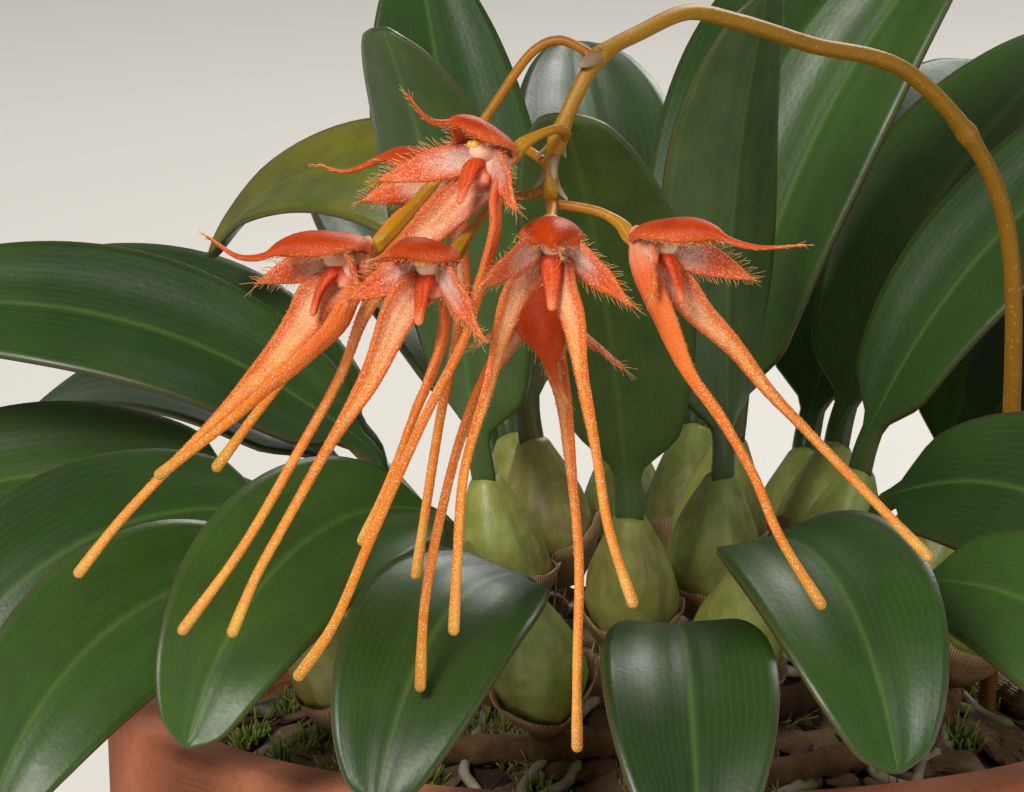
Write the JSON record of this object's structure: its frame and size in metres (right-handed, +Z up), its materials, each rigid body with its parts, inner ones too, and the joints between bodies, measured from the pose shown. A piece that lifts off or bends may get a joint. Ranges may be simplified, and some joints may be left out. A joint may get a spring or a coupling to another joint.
{
  "type": "potted orchid",
  "caption": "Miniature epiphytic orchid over a plain clay pot: clustered pseudobulbs, one leaf on each, and an arching stem with a hanging umbel of long-tailed orange flowers.",
  "frame": {"origin": "middle of the pot's flat foot, where it stands", "axes": "+Z up, +X to the right and +Y away from the viewer as the umbel is looked at; the umbel hangs over the rim on the -Y side"},
  "size_m": [0.1064, 0.1003, 0.0902],
  "materials": {
    "terracotta": "matte unglazed clay",
    "bark": "rough bark chips and moss",
    "rhizome": "dry sheaths over a creeping stem",
    "leaf": "fleshy leaf with a waxy sheen",
    "flower_stem": "smooth green-gold stalk",
    "sepal": "fleshy, papillose, salmon to golden orange",
    "hood": "fleshy, deep red-orange with a fringed edge",
    "lip": "smooth bright red-orange"
  },
  "bodies": {
    "root": {"pot": "terracotta", "growing_medium": "bark", "rhizome_1": "rhizome", "rhizome_2": "rhizome", "rhizome_3": "rhizome", "rhizome_4": "rhizome", "rhizome_5": "rhizome", "shoot_01": "leaf", "shoot_02": "leaf", "shoot_03": "leaf", "shoot_04": "leaf", "shoot_05": "leaf", "shoot_06": "leaf", "shoot_07": "leaf", "shoot_08": "leaf", "shoot_09": "leaf", "shoot_10": "leaf", "shoot_11": "leaf", "shoot_12": "leaf", "shoot_13": "leaf", "shoot_14": "leaf", "shoot_15": "leaf", "shoot_16": "leaf", "shoot_17": "leaf", "shoot_18": "leaf", "shoot_19": "leaf", "shoot_20": "leaf", "shoot_21": "leaf", "shoot_22": "leaf", "shoot_23": "leaf", "shoot_24": "leaf", "shoot_25": "leaf", "shoot_26": "leaf", "shoot_27": "leaf", "shoot_28": "leaf", "shoot_29": "leaf", "shoot_30": "leaf", "flower_stem": "flower_stem", "flower_1": "sepal", "flower_1_hood": "hood", "flower_1_lip": "lip", "flower_2": "sepal", "flower_2_hood": "hood", "flower_2_lip": "lip", "flower_3": "sepal", "flower_3_hood": "hood", "flower_3_lip": "lip", "flower_4": "sepal", "flower_4_hood": "hood", "flower_4_lip": "lip", "flower_5": "sepal", "flower_5_hood": "hood", "flower_5_lip": "lip", "flower_6": "sepal", "flower_6_hood": "hood", "flower_6_lip": "lip", "flower_7": "sepal", "flower_7_hood": "hood", "flower_7_lip": "lip"}
  },
  "joints": []
}
